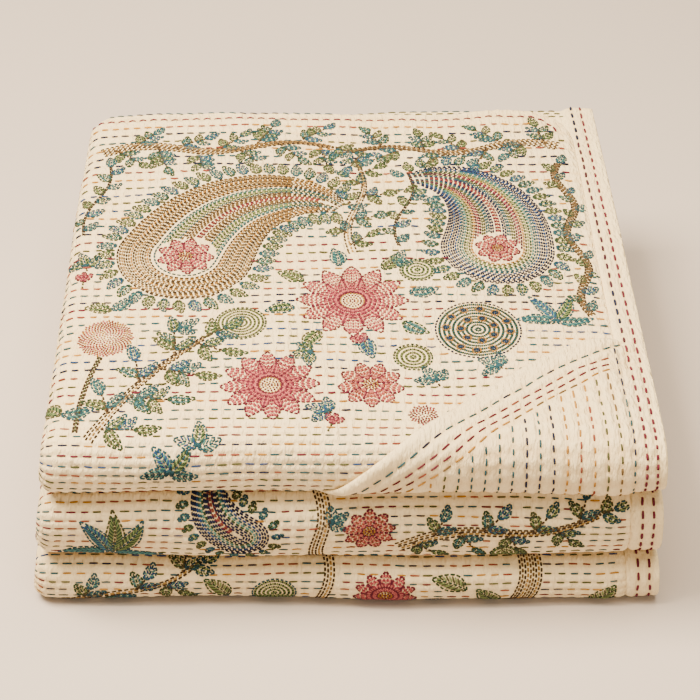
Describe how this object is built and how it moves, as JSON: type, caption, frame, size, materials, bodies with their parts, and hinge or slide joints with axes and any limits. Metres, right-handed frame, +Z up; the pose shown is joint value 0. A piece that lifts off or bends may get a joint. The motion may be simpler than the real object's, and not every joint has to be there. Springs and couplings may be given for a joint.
{
  "type": "kantha quilt",
  "caption": "Folded cotton quilt with running stitch all over and a turned border corner; rests flat on its own underside.",
  "frame": {"origin": "middle of the underside, on the surface that the quilt rests on", "axes": "+X across the folded quilt, hems to the right; -Y to the front, where the three folds show; +Z up"},
  "size_m": [0.4111, 0.3959, 0.1464],
  "materials": {
    "quilted_cotton": "warm cream cotton plies, held by rows of coloured running stitch"
  },
  "bodies": {
    "root": {"quilt": "quilted_cotton"}
  },
  "joints": []
}
